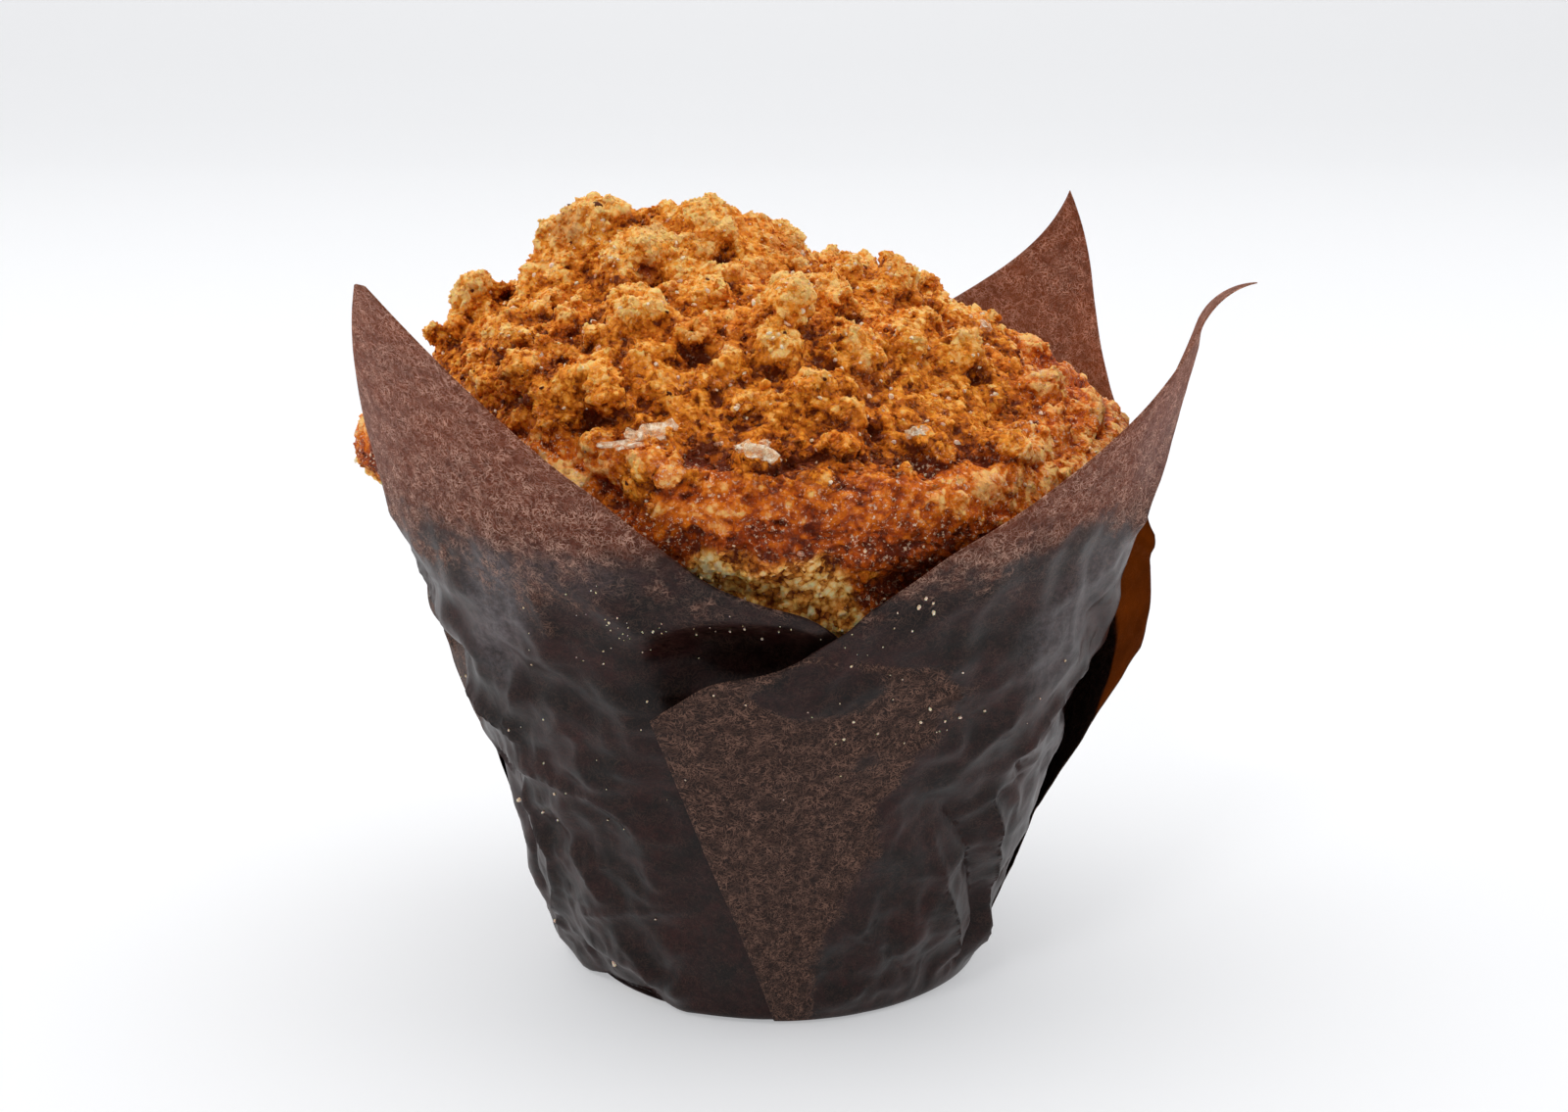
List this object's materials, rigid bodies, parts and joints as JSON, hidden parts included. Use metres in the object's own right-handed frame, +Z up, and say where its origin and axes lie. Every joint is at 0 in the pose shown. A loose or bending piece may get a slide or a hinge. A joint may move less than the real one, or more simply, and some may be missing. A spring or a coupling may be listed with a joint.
{
  "type": "muffin",
  "caption": "Crumb-topped muffin with a browned crust, standing in a dark brown baking-paper case whose overlapping walls rise into pointed petals",
  "frame": {"origin": "centre of the flat underside of the paper case", "axes": "+Z up, -Y towards the front, where two petals cross below the crown, +X to the right as seen from the front"},
  "size_m": [0.1027, 0.0873, 0.0905],
  "materials": {
    "baked_crumb": "baked crumb, golden brown topping over a darker, slightly shiny crust",
    "case_paper": "dark brown greaseproof paper with pale fibres, darker where soaked with fat"
  },
  "bodies": {
    "root": {"muffin": "baked_crumb", "paper_case": "case_paper"}
  },
  "joints": []
}
